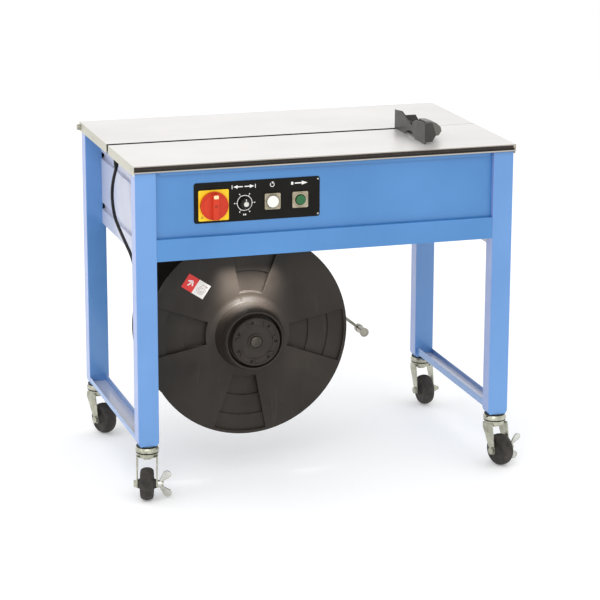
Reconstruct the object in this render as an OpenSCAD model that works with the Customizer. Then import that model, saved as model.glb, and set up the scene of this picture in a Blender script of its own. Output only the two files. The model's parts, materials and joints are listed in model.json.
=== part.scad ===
// Semi automatic strapping machine: a wheeled table with a strap reel below it.
// The machine stands on the floor at z = 0, its front faces -Y and +X is to its right.

/* [Table] */
// Width of the table top
table_w = 900; // [760:5:1100]
// Depth of the table top
table_d = 560; // [480:5:700]
// Height of the table top above the floor
table_h = 771; // [700:1:930]
// Sheet thickness of the table top
top_sheet = 2; // [1.5:0.5:3]
// Height of the front edge trim
edge_h = 16; // [12:1:24]
// Height of the side rims
rim_h = 22; // [18:1:30]
// Width of the strap slot
slot_w = 15; // [12:1:20]
// Distance of the slot's centre in front of the table's centre
slot_y = 20; // [0:1:40]
// Length of the strap slot from the left edge
slot_len = 699; // [500:1:720]

/* [Frame] */
// Width of a leg along X
leg_w = 48; // [40:1:60]
// Depth of a leg along Y
leg_d = 38; // [30:1:50]
// How far the table overhangs a leg at each side
side_overhang = 3.5; // [2:0.5:10]
// How far the table overhangs a leg at the front and back
front_overhang = 7; // [4:0.5:20]
// Height of the lower front and back rails
rail_h = 50; // [30:1:70]
// Height of a rail's underside above the floor
rail_z = 551; // [480:1:600]
// Height of a side panel's lower edge above the floor
side_z = 528; // [460:1:590]
// How far a side panel stands back from a leg's outer face
side_recess = 38.5; // [20:0.5:44]
// How far the front panel stands back from a leg's front face
front_recess = 12.5; // [6:0.5:20]
// Thickness of the folded sheet
sheet = 2; // [1.5:0.5:3]
// Width of the lower cross channels
channel_w = 41; // [30:1:44]
// Height of a cross channel's outer lip
channel_lip = 12; // [8:1:20]
// Height of a cross channel's inner wall
channel_wall = 18; // [12:1:40]

/* [Casters] */
// Height of a caster under the leg
caster_h = 122.7; // [115:0.1:150]
// Radius of a caster wheel
wheel_r = 37.5; // [32:0.5:42]
// Width of a caster wheel
wheel_w = 30; // [24:1:34]
// Distance of the wheel's axle behind the swivel axis
trail = 24; // [15:1:30]
// Radius of the axle bolt
axle_r = 5; // [4:0.5:6]
// Radius of the kingpin
king_r = 6; // [5:0.5:8]

/* [Controls] */
// Width of the control plate
plate_w = 293; // [260:1:320]
// Height of the control plate
plate_h = 92; // [80:1:100]
// Width of the yellow switch plate
switch_w = 70; // [60:1:76]
// Radius of the rotary main switch
switch_r = 32; // [26:1:34]
// Radius of the length dial
dial_r = 12; // [9:1:15]
// Width of a push button's bezel
bezel_w = 37; // [32:1:42]
// Travel of a push button
button_travel = 3; // [2:0.5:4]

/* [Reel] */
// Radius of the reel flanges
flange_r = 239; // [190:1:245]
// Distance between the outer faces of the flanges
reel_w = 143; // [120:1:170]
// Radius of the strap drum
drum_r = 88; // [70:1:92]
// Height of the reel's axis above the floor
reel_z = 345; // [320:1:350]
// Distance of the reel's axis to the left of the centre
reel_x = 166; // [140:1:176]
// Radius of the reel shaft
shaft_r = 10; // [8:0.5:14]
// Radius of the locking wheel
lock_r = 56; // [45:1:58]
// Length of the brake arm
arm_len = 293; // [240:1:330]

/* [Fits] */
// Radial clearance of a shaft in its bore
run_gap = 0.05; // [0.02:0.01:0.1]
// Gap between faces that slide or turn past each other
face_gap = 0.3; // [0.2:0.1:0.5]

/* [Hidden] */
$fn = 48;
eps = 0.01;

// The table's centre lies a little beside the origin, so that the whole machine,
// with its wing nut and front casters, is centred on the origin.
left_reach = 10;
right_reach = 38;
table_cx = -(right_reach - left_reach) / 2;
table_cy = 17;

// Table
x_edge = table_w / 2;
y_edge = table_d / 2;
top_z = table_h;
trim_z = top_z - edge_h;
rim_z = top_z - rim_h;
slot_front = -slot_y - slot_w / 2;
slot_back = -slot_y + slot_w / 2;
slot_end = -x_edge + slot_len;
track_wall = 1.5;
track_z = trim_z - 1;
lid_gap = 1.5;
seam = 0.05;
lid_pin_y = y_edge - 10;
lid_pin_z = rim_z + 10;
lid_pin_r = 3;
pin_out = 8;

// Legs and rails
leg_x = x_edge - side_overhang;
leg_y = y_edge - front_overhang;
leg_top = trim_z - 1;
shelf_z = track_z - sheet;
leg_cx = leg_x - leg_w / 2;
leg_cy = leg_y - leg_d / 2;
leg_in_x = leg_x - leg_w;
leg_in_y = leg_y - leg_d;
leg_chamfer = 8;
foot_plate = 4;
stem_r = 6;
rail_top = rail_z + rail_h;
rail_d = 30;
rail_set = 1;
channel_z = caster_h + 8;
panel_x = leg_x - side_recess;
panel_y = leg_y - front_recess;
panel_top = trim_z - 3;
groove_d = 7;
groove_h = 17;
groove_zs = [563, 687];
base_top = rail_top + 3;

// Casters
fork_gap = 42;
fork_plate = 3;
fork_out = fork_gap / 2 + fork_plate;
head_r = 27;
head_z = caster_h - 17;
crown_z = head_z - 9;
hub_w = fork_gap - 2 * face_gap;
swivel = [-17, 17, 22, 3];
wing_reach = 24;
wing_r = 10;
wing_splay = 22;

// Controls
plate_t = 1.5;
plate_face = -panel_y - plate_t;
plate_cx = -163.5;
plate_cz = 675.75;
switch_x = -265;
switch_z = 670;
switch_t = 2;
spindle_r = 4;
dial_x = -193;
dial_z = 670.7;
reset_x = -128.6;
feed_x = -64;
button_z = 671;
reset_r = 13.5;
feed_r = 11;
bezel_t = 4;
bezel_face = plate_face - bezel_t;

// Reel
reel_front = -190;
reel_back = reel_front + reel_w;
flange_t = 3;
cone_r = 95;
cone_tip_r = 68;
cone_front = -250;
lock_front = -260;
lock_t = 8;
bracket_y = reel_back + 9;
bracket_t = 8;
pocket_rs = [100, 149, 195, 232];
pocket_depths = [15, 11, 7];
pocket_half = 15.5;
pocket_turn = -5;
side_angles = [1.5, 1.25, 1];

// Brake arm: it hangs from a pivot behind the reel
arm_pivot_x = -60;
arm_pivot_z = 466;
arm_slope = 39;
arm_y = 0;
arm_r = 3.5;
arm_hub_r = 12;
arm_pin_r = 6;
arm_eye_r = 10;
arm_end_x = arm_pivot_x + arm_len * cos(arm_slope);
arm_end_z = arm_pivot_z - arm_len * sin(arm_slope);
guide_r = 9;
guide_pin_r = 4;

// Strapping head
head_x = slot_end - 49;
cam_z = 655;
cam_shaft_r = 8;
cam_r = 22;
cam_lift = 6;
cheek_front = -66;
cheek_back = 10;
cheek_t = 6;
feed_cx = head_x - 110;
feed_roller_r = 20;
pinch_roller_r = 14;
roller_z = 690;
pinch_z = roller_z + feed_roller_r + pinch_roller_r + face_gap;
roller_pin_r = 5;
box_y = 60;
box_d = 80;
motor_r = 48;
motor_len = 150;
press_w = 60;
press_travel = 8;

// Mains lead
cord_r = 3.75;
gland_x = -leg_cx - 2.5;
gland_y = 0;
gland_tip = 712;
// The lead hangs from the gland, swings forward behind the leg and drops to the hank
cord_points = [
    [-425, 0, 712], [-426, 8, 700], [-428, 17, 682], [-430, 22, 660],
    [-431, 21, 638], [-431, 12, 615], [-431, -8, 595], [-430, -40, 579],
    [-430, -80, 566], [-430, -120, 554], [-429, -148, 543], [-428, -168, 529],
    [-428, -181, 509], [-428, -185, 485], [-428, -185, 455], [-428, -185, 420],
    [-428, -185, 385], [-428, -185, 345], [-428, -185, 312]
];
// The hank stands in the left cross channel, against the back of the front leg
hank_loops = 3;
hank_pitch = 8;
hank_bend = 23;
hank_x = -leg_cx + 2.5;
hank_y = -leg_in_y + hank_bend + cord_r + face_gap;
hank_z0 = channel_z + sheet;
hank_z1 = 333;
plug_r = 19;
plug_len = 50;
plug_pin_len = 19;
plug_z = 248;

function unit(v) = v / norm(v);

// One rounded rectangle in the XY plane
module rounded(w, h, r) {
    hull() {
        for (sx = [-1, 1], sy = [-1, 1]) {
            translate([sx * (w / 2 - r), sy * (h / 2 - r)]) circle(r = r, $fn = 24);
        }
    }
}

// A cylinder along +Y from y0 to y1
module rod_y(x, z, r, y0, y1) {
    translate([x, y1, z]) rotate([90, 0, 0]) cylinder(r = r, h = y1 - y0);
}

// Puts a module of the table's own frame in the part's frame
module placed() {
    translate([table_cx, table_cy, 0]) children();
}

// Puts children at one leg: sx is -1 at the left, sy is -1 at the front
module at_leg(sx, sy) {
    translate([sx * leg_cx, sy * leg_cy, 0]) children();
}

// A folded sheet leg with chamfered bottom corners
module leg(sx, sy) {
    color([0.42, 0.62, 0.86]) at_leg(sx, sy) difference() {
        translate([0, leg_d / 2, 0]) rotate([90, 0, 0]) linear_extrude(leg_d) polygon([
            [-leg_w / 2, caster_h + leg_chamfer],
            [-leg_w / 2 + leg_chamfer * 0.6, caster_h],
            [leg_w / 2 - leg_chamfer * 0.6, caster_h],
            [leg_w / 2, caster_h + leg_chamfer],
            [leg_w / 2, leg_top],
            [-leg_w / 2, leg_top]
        ]);
        translate([-leg_w / 2 + sheet, -leg_d / 2 + sheet, caster_h + leg_chamfer + foot_plate])
            cube([leg_w - 2 * sheet, leg_d - 2 * sheet, leg_top]);
        translate([0, 0, caster_h - 1]) cylinder(r = stem_r, h = 30);
    }
}

// An upward-open channel between the front and back leg, with its short lip outside
module cross_channel(sx) {
    color([0.62, 0.69, 0.84]) mirror([sx < 0 ? 0 : 1, 0, 0])
        translate([-leg_x + 0.5, leg_in_y, channel_z]) rotate([90, 0, 0])
            linear_extrude(2 * leg_in_y) polygon([
                [0, 0], [channel_w, 0], [channel_w, channel_wall],
                [channel_w - sheet, channel_wall], [channel_w - sheet, sheet],
                [sheet, sheet], [sheet, channel_lip], [0, channel_lip]
            ]);
}

// A folded rail between two legs, open towards the inside
module rail(sy) {
    color([0.36, 0.57, 0.83]) mirror([0, sy < 0 ? 0 : 1, 0])
        translate([-leg_in_x, -leg_y + rail_set, rail_z]) difference() {
            cube([2 * leg_in_x, rail_d, rail_h]);
            translate([-eps, sheet, sheet])
                cube([2 * leg_in_x + 1, rail_d, rail_h - 2 * sheet]);
        }
}

module front_panel() {
    color([0.39, 0.59, 0.83]) difference() {
        union() {
            translate([-leg_in_x, -panel_y, rail_top])
                cube([2 * leg_in_x, sheet, panel_top - rail_top]);
            translate([-leg_in_x, -panel_y, panel_top - sheet])
                cube([2 * leg_in_x, 18, sheet]);
            translate([-leg_in_x, -leg_y + 4, panel_top])
                cube([2 * leg_in_x, 20, sheet]);
        }
        rod_y(switch_x, switch_z, spindle_r + 6, -panel_y - 1, -panel_y + sheet + 1);
        rod_y(dial_x, dial_z, spindle_r + run_gap, -panel_y - 1, -panel_y + sheet + 1);
        for (x = [reset_x, feed_x]) {
            rod_y(x, button_z, spindle_r + run_gap, -panel_y - 1, -panel_y + sheet + 1);
        }
    }
}

module back_panel() {
    vents = 14;
    color([0.39, 0.59, 0.83]) difference() {
        translate([-leg_in_x, panel_y - sheet, rail_top])
            cube([2 * leg_in_x, sheet, panel_top + 12 - rail_top]);
        for (i = [0:vents - 1]) {
            translate([60 + i * 18, panel_y - sheet - 1, 640]) cube([7, 5, 60]);
        }
    }
}

// A side panel with two pressed grooves, and a shelf at its top that closes the gap
module side_panel(sx) {
    x0 = panel_x;
    groove = [[0, 0], [-groove_d, 2], [-groove_d, groove_h - 2], [0, groove_h]];
    steps = concat(
        [[x0, side_z]],
        [for (z = groove_zs, p = groove) [x0 + p[0], z + p[1]]],
        [[x0, shelf_z]]
    );
    back = [for (i = [len(steps) - 1:-1:0]) [steps[i][0] - sheet, steps[i][1]]];
    color([0.66, 0.72, 0.87]) mirror([sx < 0 ? 1 : 0, 0, 0]) difference() {
        union() {
            translate([0, leg_in_y, 0]) rotate([90, 0, 0])
                linear_extrude(2 * leg_in_y) polygon(concat(steps, back));
            translate([x0 - sheet, -leg_in_y, shelf_z])
                cube([leg_x - 2 - x0 + sheet, 2 * leg_in_y, sheet]);
        }
        if (sx < 0) {
            translate([-gland_x, gland_y, shelf_z - 10]) cylinder(r = 8, h = 20);
        }
    }
}

module base_plate() {
    color([0.55, 0.58, 0.6]) difference() {
        translate([-panel_x + groove_d + 6, -leg_y + rail_set + 6, rail_top])
            cube([2 * (panel_x - groove_d - 6), 2 * (leg_y - rail_set - 6), 3]);
        translate([-leg_x, -leg_y - 1, rail_top - 1])
            cube([2 * leg_x, front_recess + sheet + 2, 10]);
        translate([-leg_x, panel_y - sheet - 1, rail_top - 1])
            cube([2 * leg_x, front_recess + sheet + 3, 10]);
        for (sx = [-1, 1], sy = [-1, 1]) {
            translate([sx * leg_cx, sy * leg_cy, rail_top])
                cube([leg_w + 1, leg_d + 1, 20], center = true);
        }
        translate([feed_cx - 20, -40, rail_top - 1]) cube([40, 30, 10]);
    }
}

// The front half of the table: a tray of folded sheet with side rims
module front_table_top() {
    color([0.94, 0.94, 0.93]) difference() {
        union() {
            translate([-x_edge, -y_edge + 2, top_z - top_sheet])
                cube([table_w, y_edge - 2 + slot_front, top_sheet]);
            translate([slot_end, slot_front + seam, top_z - top_sheet])
                cube([x_edge - slot_end, slot_w - lid_gap - seam, top_sheet]);
            for (sx = [-1, 1]) {
                translate([sx > 0 ? x_edge - 2 : -x_edge, -y_edge + 2, rim_z])
                    cube([2, y_edge - 2 + slot_front, rim_h]);
            }
            translate([-x_edge, slot_front - 2, top_z - 12]) cube([slot_len, 2, 12]);
        }
        for (sx = [-1, 1]) {
            translate([sx * x_edge, -250, rim_z + 10])
                rotate([0, 90, 0]) cylinder(r = 2, h = 20, center = true);
        }
    }
}

// The back half of the table, which lifts about the pins at its back corners
module back_table_lid() {
    color([0.95, 0.95, 0.94]) difference() {
        union() {
            translate([-x_edge, slot_back, top_z - top_sheet])
                cube([table_w, y_edge - slot_back, top_sheet]);
            for (sx = [-1, 1]) {
                translate([sx > 0 ? x_edge - 2 : -x_edge, slot_back, rim_z])
                    cube([2, y_edge - slot_back, rim_h]);
            }
            translate([-x_edge, slot_back, top_z - 8]) cube([slot_len, 2, 8]);
        }
        for (sx = [-1, 1]) {
            translate([sx * x_edge, lid_pin_y, lid_pin_z]) rotate([0, 90, 0])
                cylinder(r = lid_pin_r + run_gap, h = 20, center = true);
            for (y = [137, 145]) {
                translate([sx * x_edge, y, rim_z + 7])
                    rotate([0, 90, 0]) cylinder(r = 1.5, h = 20, center = true);
            }
        }
    }
}

// The silver extrusion on the front edge, with a groove for its dark insert
module front_edge_trim() {
    color([0.55, 0.53, 0.5]) translate([-x_edge, -y_edge, trim_z]) difference() {
        cube([table_w, 2, edge_h]);
        translate([-1, -eps, 3]) cube([table_w + 2, 0.8, edge_h - 5]);
    }
}

// The channel under the slot that the strap runs in
module strap_track() {
    y0 = slot_front - 2 - track_wall;
    y1 = slot_back + 2 + track_wall + face_gap;
    wall_h = top_z - top_sheet - track_z;
    runs = [
        [-x_edge + 3, feed_cx - 18],
        [feed_cx + 18, head_x - press_w / 2 - 1],
        [head_x + press_w / 2 + 1, slot_end - 3]
    ];
    color([0.45, 0.43, 0.4]) for (run = runs) {
        w = run[1] - run[0];
        translate([run[0], y0, track_z]) cube([w, track_wall, wall_h]);
        translate([run[0], y0 + track_wall + seam, track_z])
            cube([w, y1 - y0 - 2 * (track_wall + seam), track_wall]);
        translate([run[0], y1 - track_wall, track_z]) cube([w, track_wall, wall_h - face_gap]);
    }
}

// The black stop at the end of the slot: two wings joined at a neck, a folded end
// plate on each, a spine and a foot behind them, and a rounded horn
module parcel_stop() {
    t = 2.5;
    back_y = -15;
    front_y = -223;
    spine_u = 16;
    horn_y = -180;
    horn_len = 42;
    foot_w = 30;
    foot_y = -160;
    wings = [
        [back_y, 45], [-56, 46], [-72, 44], [-93, 38], [-126, 28], [-133, 28], [-141, 38],
        [-156, 44], [-190, 48], [-215, 49], [front_y, 45], [front_y, 0], [-158, 0],
        [-133, 14], [-105, 12], [-82, 0], [back_y, 0]
    ];
    front_end = [[0, 4], [19, 5], [28, 20], [20, 46], [14, 50], [0, 48]];
    back_end = [[0, 0], [62, 0], [62, 14], [52, 30], [27, 30], [19, 40], [15, 41], [0, 45]];
    horn = [[spine_u, 10], [50, 10], [57, 20], [55, 30], [45, 39], [31, 44], [spine_u, 45]];
    color([0.2, 0.2, 0.2]) translate([slot_end - 2, 0, top_z]) {
        rotate([90, 0, 90]) linear_extrude(t) polygon(wings);
        translate([0, front_y + t, 0]) rotate([90, 0, 0]) linear_extrude(t) polygon(front_end);
        translate([0, back_y, 0]) rotate([90, 0, 0]) linear_extrude(t) polygon(back_end);
        translate([spine_u, front_y, 6]) cube([t, back_y - front_y, 20]);
        translate([spine_u, horn_y, 0]) cube([t, back_y - horn_y, 26]);
        translate([spine_u, foot_y, 0]) cube([foot_w, back_y - foot_y, 2]);
        translate([0, horn_y + horn_len, 0]) rotate([90, 0, 0])
            linear_extrude(horn_len) polygon(horn);
    }
}

// Pins, lugs and outer knobs that carry the lid
module lid_hinge_pins() {
    color([0.75, 0.75, 0.72]) for (sx = [-1, 1]) mirror([sx < 0 ? 1 : 0, 0, 0]) {
        difference() {
            union() {
                translate([x_edge - 2 - face_gap - 4, lid_pin_y, lid_pin_z])
                    rotate([0, 90, 0]) cylinder(r = lid_pin_r + 4, h = 4);
                translate([x_edge - 2 - face_gap - 4, lid_pin_y - 5, leg_top])
                    cube([4, 8, lid_pin_z - leg_top]);
                translate([x_edge - 20, lid_pin_y - 12, leg_top])
                    cube([18 - face_gap, 14, 2]);
            }
            translate([x_edge - 12, lid_pin_y - 30, leg_top - 5]) cube([20, 60, 5]);
        }
        translate([x_edge - 4, lid_pin_y, lid_pin_z])
            rotate([0, 90, 0]) cylinder(r = lid_pin_r, h = 8);
        translate([x_edge + face_gap, lid_pin_y, lid_pin_z])
            rotate([0, 90, 0]) cylinder(r = 7, h = pin_out - face_gap);
    }
}

// The four fixed caster heads with their stems and kingpins
module caster_stems() {
    color([0.72, 0.72, 0.68]) for (sx = [-1, 1], sy = [-1, 1]) {
        at_leg(sx, sy) {
            rotate_extrude() polygon([
                [0, head_z], [24, head_z], [head_r, head_z + 5],
                [head_r, head_z + 9], [22, caster_h], [0, caster_h]
            ]);
            cylinder_between(stem_r, caster_h, caster_h + 28);
            cylinder_between(king_r, crown_z - 4, head_z);
            cylinder_between(king_r + 4, crown_z - 7, crown_z - face_gap - 1);
        }
    }
}

module cylinder_between(r, z0, z1) {
    translate([0, 0, z0]) cylinder(r = r, h = z1 - z0);
}

// Turns children to the way one caster points; i is 0 to 3
module caster(i) {
    sx = i % 2 == 0 ? -1 : 1;
    sy = i < 2 ? -1 : 1;
    at_leg(sx, sy) rotate([0, 0, swivel[i]]) translate([0, -trail, wheel_r]) children();
}

// A pressed fork: a crown with two tapering side plates
module fork(i) {
    lug = 9;
    color([0.72, 0.72, 0.66]) caster(i) {
        difference() {
            translate([0, trail, crown_z - wheel_r])
                cylinder(r = fork_out, h = head_z - face_gap - crown_z);
            translate([0, trail, crown_z - wheel_r - 1])
                cylinder(r = king_r + run_gap, h = 20);
        }
        for (sx = [-1, 1]) {
            difference() {
                translate([sx > 0 ? fork_gap / 2 : -fork_out, 0, 0])
                    rotate([90, 0, 90]) linear_extrude(fork_plate) polygon([
                        [-lug, -4], [-5, -lug], [5, -lug], [lug, -3],
                        [trail + 14, crown_z - wheel_r - 8],
                        [trail + 14, crown_z - wheel_r + 4],
                        [trail - 20, crown_z - wheel_r + 4],
                        [trail - 22, crown_z - wheel_r - 6]
                    ]);
                rotate([0, 90, 0]) cylinder(r = axle_r, h = 80, center = true);
            }
        }
    }
}

// A crowned wheel with a raised hub, bored for its axle
module wheel(i) {
    hw = wheel_w / 2;
    hh = hub_w / 2;
    color([0.22, 0.2, 0.18]) caster(i) rotate([0, 90, 0]) rotate_extrude($fn = 96) polygon([
        [axle_r + run_gap, -hh], [10, -hh], [13, -hw + 1], [wheel_r - 13, -hw + 2],
        [wheel_r - 9, -hw], [wheel_r - 5, -hw + 1], [wheel_r - 1.5, -hw + 6],
        [wheel_r - 0.3, -4], [wheel_r, 0], [wheel_r - 0.3, 4],
        [wheel_r - 1.5, hw - 6], [wheel_r - 5, hw - 1], [wheel_r - 9, hw],
        [wheel_r - 13, hw - 2], [13, hw - 1], [10, hh], [axle_r + run_gap, hh]
    ]);
}

// The axle bolt with its head; a back caster also has a nut
module axle(i) {
    color([0.78, 0.78, 0.76]) caster(i) rotate([0, 90, 0]) {
        translate([0, 0, -fork_out - 6]) cylinder(r = 9, h = 6, $fn = 6);
        translate([0, 0, -fork_out - 1]) cylinder(r = axle_r, h = 2 * fork_out + 15);
        if (i > 1) {
            translate([0, 0, fork_out]) cylinder(r = 9, h = 7, $fn = 6);
        }
    }
}

// A wing nut with two splayed paddles
module wing_nut(i) {
    color([0.74, 0.74, 0.7]) caster(i) rotate([0, 90, 0]) difference() {
        union() {
            translate([0, 0, fork_out + face_gap]) cylinder(r1 = 9, r2 = 8, h = 10);
            for (a = [0, 180]) rotate([0, 0, a + 12]) hull() {
                translate([6, 0, fork_out + 4]) cylinder(r = 2.5, h = 3, $fn = 24);
                translate([wing_reach, 0, fork_out + wing_splay]) rotate([90, 0, 0])
                    cylinder(r = wing_r, h = 3, center = true, $fn = 32);
            }
        }
        translate([0, 0, fork_out - 1]) cylinder(r = axle_r + run_gap, h = 60);
    }
}

module control_plate() {
    color([0.1, 0.1, 0.1]) difference() {
        translate([plate_cx, -panel_y, plate_cz]) rotate([90, 0, 0])
            linear_extrude(plate_t) rounded(plate_w, plate_h, 6);
        rod_y(switch_x, switch_z, spindle_r + 6, plate_face - 1, -panel_y + 1);
        for (p = [[dial_x, dial_z], [reset_x, button_z], [feed_x, button_z]]) {
            rod_y(p[0], p[1], spindle_r + run_gap, plate_face - 1, -panel_y + 1);
        }
    }
}

module switch_plate() {
    color([0.98, 0.78, 0.1]) difference() {
        union() {
            translate([switch_x, plate_face, switch_z]) rotate([90, 0, 0])
                linear_extrude(switch_t) rounded(switch_w, switch_w, 3);
            rod_y(switch_x, switch_z, spindle_r + 5.8, plate_face - eps, -panel_y + 30);
        }
        rod_y(switch_x, switch_z, spindle_r + run_gap, plate_face - 10, -panel_y + 40);
    }
}

// The round red handle of the main switch, with a grip ridge and its spindle
module switch_knob() {
    y1 = plate_face - switch_t - face_gap;
    color([0.87, 0.2, 0.12]) {
        rod_y(switch_x, switch_z, switch_r, y1 - 9, y1);
        rod_y(switch_x, switch_z, switch_r - 5, y1 - 12, y1 - 9);
        translate([switch_x - 7, y1 - 23, switch_z - switch_r + 3])
            cube([14, 12, 2 * switch_r - 6]);
        rod_y(switch_x, switch_z, spindle_r, y1 - 1, y1 + 30);
    }
}

// The length dial: a knurled black knob with a silver cap
module dial_knob() {
    y1 = plate_face - face_gap;
    knurls = 18;
    color([0.12, 0.12, 0.12]) {
        difference() {
            rod_y(dial_x, dial_z, dial_r, y1 - 14, y1);
            for (i = [0:knurls - 1]) {
                rod_y(dial_x + (dial_r + 0.4) * cos(i * 360 / knurls),
                      dial_z + (dial_r + 0.4) * sin(i * 360 / knurls), 1, y1 - 15, y1 - 3);
            }
        }
        rod_y(dial_x, dial_z, dial_r / 2, y1 - 15, y1 - 14);
        rod_y(dial_x, dial_z, spindle_r, y1 - 1, y1 + 20);
    }
}

module button_bezels() {
    color([0.69, 0.65, 0.57]) for (b = [[reset_x, reset_r], [feed_x, feed_r]]) {
        difference() {
            translate([b[0], plate_face, button_z]) rotate([90, 0, 0])
                linear_extrude(bezel_t) rounded(bezel_w, bezel_w, 3);
            rod_y(b[0], button_z, b[1] + face_gap, bezel_face - 1, plate_face + 1);
        }
    }
}

// A lens that moves inwards on its stem
module push_button(x, r, proud) {
    back = plate_face - button_travel - face_gap;
    rod_y(x, button_z, r - 1.5, bezel_face - proud - 1, back);
    rod_y(x, button_z, r, bezel_face - proud, back);
    rod_y(x, button_z, spindle_r, back - 1, -panel_y + sheet + 14);
}

module reset_button() {
    color([0.93, 0.93, 0.9]) push_button(reset_x, reset_r, 4);
}

module feed_button() {
    color([0.12, 0.5, 0.25]) push_button(feed_x, feed_r, 5);
}

// The post that carries the reel shaft and the brake arm's pivot
module reel_bracket() {
    color([0.33, 0.52, 0.78]) difference() {
        union() {
            translate([-reel_x, bracket_y, 0]) rotate([90, 0, 0])
                translate([0, 0, -bracket_t]) linear_extrude(bracket_t) polygon([
                    [-30, rail_top], [-30, reel_z - 20], [-18, reel_z - 34],
                    [18, reel_z - 34], [30, reel_z - 20], [30, arm_pivot_z - 40],
                    [reel_x + arm_pivot_x + 16, arm_pivot_z - 16],
                    [reel_x + arm_pivot_x + 16, arm_pivot_z + 16],
                    [30, arm_pivot_z + 50], [30, rail_top]
                ]);
            translate([-reel_x - 45, bracket_y, rail_top - 4])
                cube([90, 70, 4]);
        }
        rod_y(-reel_x, reel_z, shaft_r, bracket_y - 1, bracket_y + bracket_t + 1);
        rod_y(arm_pivot_x, arm_pivot_z, arm_pin_r, bracket_y - 1, bracket_y + bracket_t + 1);
    }
}

// The fixed reel shaft with its collar and domed end bolt, and the arm's pivot pin
module reel_shaft() {
    y0 = lock_front - face_gap;
    color([0.78, 0.78, 0.77]) {
        rod_y(-reel_x, reel_z, shaft_r, y0, bracket_y + bracket_t + 12);
        rod_y(-reel_x, reel_z, shaft_r + 7, bracket_y + bracket_t, bracket_y + bracket_t + 9);
        rod_y(-reel_x, reel_z, shaft_r + 6, reel_back + face_gap, bracket_y);
        translate([-reel_x, y0, reel_z]) rotate([90, 0, 0]) rotate_extrude()
            polygon([[0, 0], [13, 0], [13, 2], [10, 4], [5, 5.5], [0, 6]]);
        rod_y(arm_pivot_x, arm_pivot_z, arm_pin_r, bracket_y - 3, arm_y + 14);
        rod_y(arm_pivot_x, arm_pivot_z, arm_pin_r + 4, bracket_y - 6, bracket_y);
        rod_y(arm_pivot_x, arm_pivot_z, arm_pin_r + 4, arm_y + 7 + face_gap, arm_y + 12);
    }
}

// The rear flange, moulded in one with the drum
module rear_flange() {
    bore = shaft_r + run_gap;
    color([0.24, 0.22, 0.2]) translate([-reel_x, 0, reel_z]) rotate([90, 0, 0])
        rotate_extrude($fn = 120) polygon([
            [bore, -reel_back], [flange_r, -reel_back], [flange_r, -reel_back + flange_t],
            [drum_r, -reel_back + flange_t], [drum_r, -reel_front - flange_t],
            [drum_r - 5, -reel_front - flange_t], [drum_r - 5, -reel_back + flange_t + 6],
            [bore + 12, -reel_back + flange_t + 6], [bore + 12, -reel_front - flange_t],
            [bore, -reel_front - flange_t]
        ]);
}

// One ring sector of a pressed pocket, cut from r0 to r1 around angle a
module sector(r0, r1, a, half, h) {
    far = 1.2 * flange_r;
    rotate([0, 0, a]) linear_extrude(h) intersection() {
        difference() {
            circle(r = r1, $fn = 120);
            circle(r = r0, $fn = 96);
        }
        polygon([[0, 0], [far * cos(half), -far * sin(half)], [far * cos(half), far * sin(half)]]);
    }
}

// The front flange: a disc with a hub cone and four pockets pressed inwards in steps
module front_flange() {
    wall = 2.5;
    bore = shaft_r + run_gap;
    color([0.25, 0.23, 0.21]) translate([-reel_x, reel_front, reel_z]) rotate([90, 0, 0]) {
        difference() {
            union() {
                translate([0, 0, -flange_t]) cylinder(r = flange_r, h = flange_t, $fn = 120);
                for (k = [0:3], s = [0:2]) {
                    translate([0, 0, -pocket_depths[s] - wall])
                        sector(pocket_rs[s] - wall, pocket_rs[s + 1] + wall, k * 90 + pocket_turn,
                               pocket_half + side_angles[s], pocket_depths[s] + wall - 1);
                }
            }
            for (k = [0:3], s = [0:2]) {
                translate([0, 0, -pocket_depths[s]])
                    sector(pocket_rs[0], pocket_rs[s + 1], k * 90 + pocket_turn, pocket_half, 40);
            }
            translate([0, 0, -40]) cylinder(r = bore, h = 80);
        }
        rotate_extrude($fn = 120) polygon([
            [bore, -flange_t], [cone_r, -flange_t], [cone_r, 0], [80, 8], [cone_tip_r + 4, 50],
            [cone_tip_r, -cone_front + reel_front], [cone_tip_r - 4, -cone_front + reel_front],
            [cone_tip_r - 8, 46], [bore, 46]
        ]);
    }
}

// The locking wheel on the hub, with finger notches round its face
module hub_wheel() {
    notches = 7;
    hub_face = reel_front - 46;
    color([0.2, 0.19, 0.18]) difference() {
        union() {
            rod_y(-reel_x, reel_z, lock_r, lock_front, lock_front + lock_t);
            rod_y(-reel_x, reel_z, 30, lock_front + lock_t - eps, hub_face - face_gap);
        }
        rod_y(-reel_x, reel_z, shaft_r + run_gap, lock_front - 1, hub_face + 1);
        rod_y(-reel_x, reel_z, 40, lock_front - 1, lock_front + 2);
        for (i = [0:notches - 1]) {
            a = 101.5 + i * 360 / notches;
            rod_y(-reel_x + 46 * cos(a), reel_z + 46 * sin(a), 3.5, lock_front - 1, lock_front + 4);
        }
    }
}

// The brake arm: a hub, a long rod and an eye that holds the guide roller's pin
module brake_arm() {
    color([0.8, 0.8, 0.78]) difference() {
        union() {
            rod_y(arm_pivot_x, arm_pivot_z, arm_hub_r, arm_y - 7, arm_y + 7);
            translate([arm_pivot_x, arm_y, arm_pivot_z]) rotate([0, 90 + arm_slope, 0])
                translate([0, 0, arm_hub_r - 2]) cylinder(r = arm_r, h = arm_len - arm_hub_r - 3);
            rod_y(arm_end_x, arm_end_z, arm_eye_r, arm_y - 7, arm_y + 7);
            rod_y(arm_end_x, arm_end_z, guide_pin_r, arm_y - 42, arm_y - 6);
            rod_y(arm_end_x, arm_end_z, guide_r + 2, arm_y - 42, arm_y - 39);
        }
        rod_y(arm_end_x, arm_end_z, guide_pin_r + 3, arm_y - 43, arm_y - 41);
        rod_y(arm_pivot_x, arm_pivot_z, arm_pin_r + run_gap, arm_y - 8, arm_y + 8);
    }
}

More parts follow.
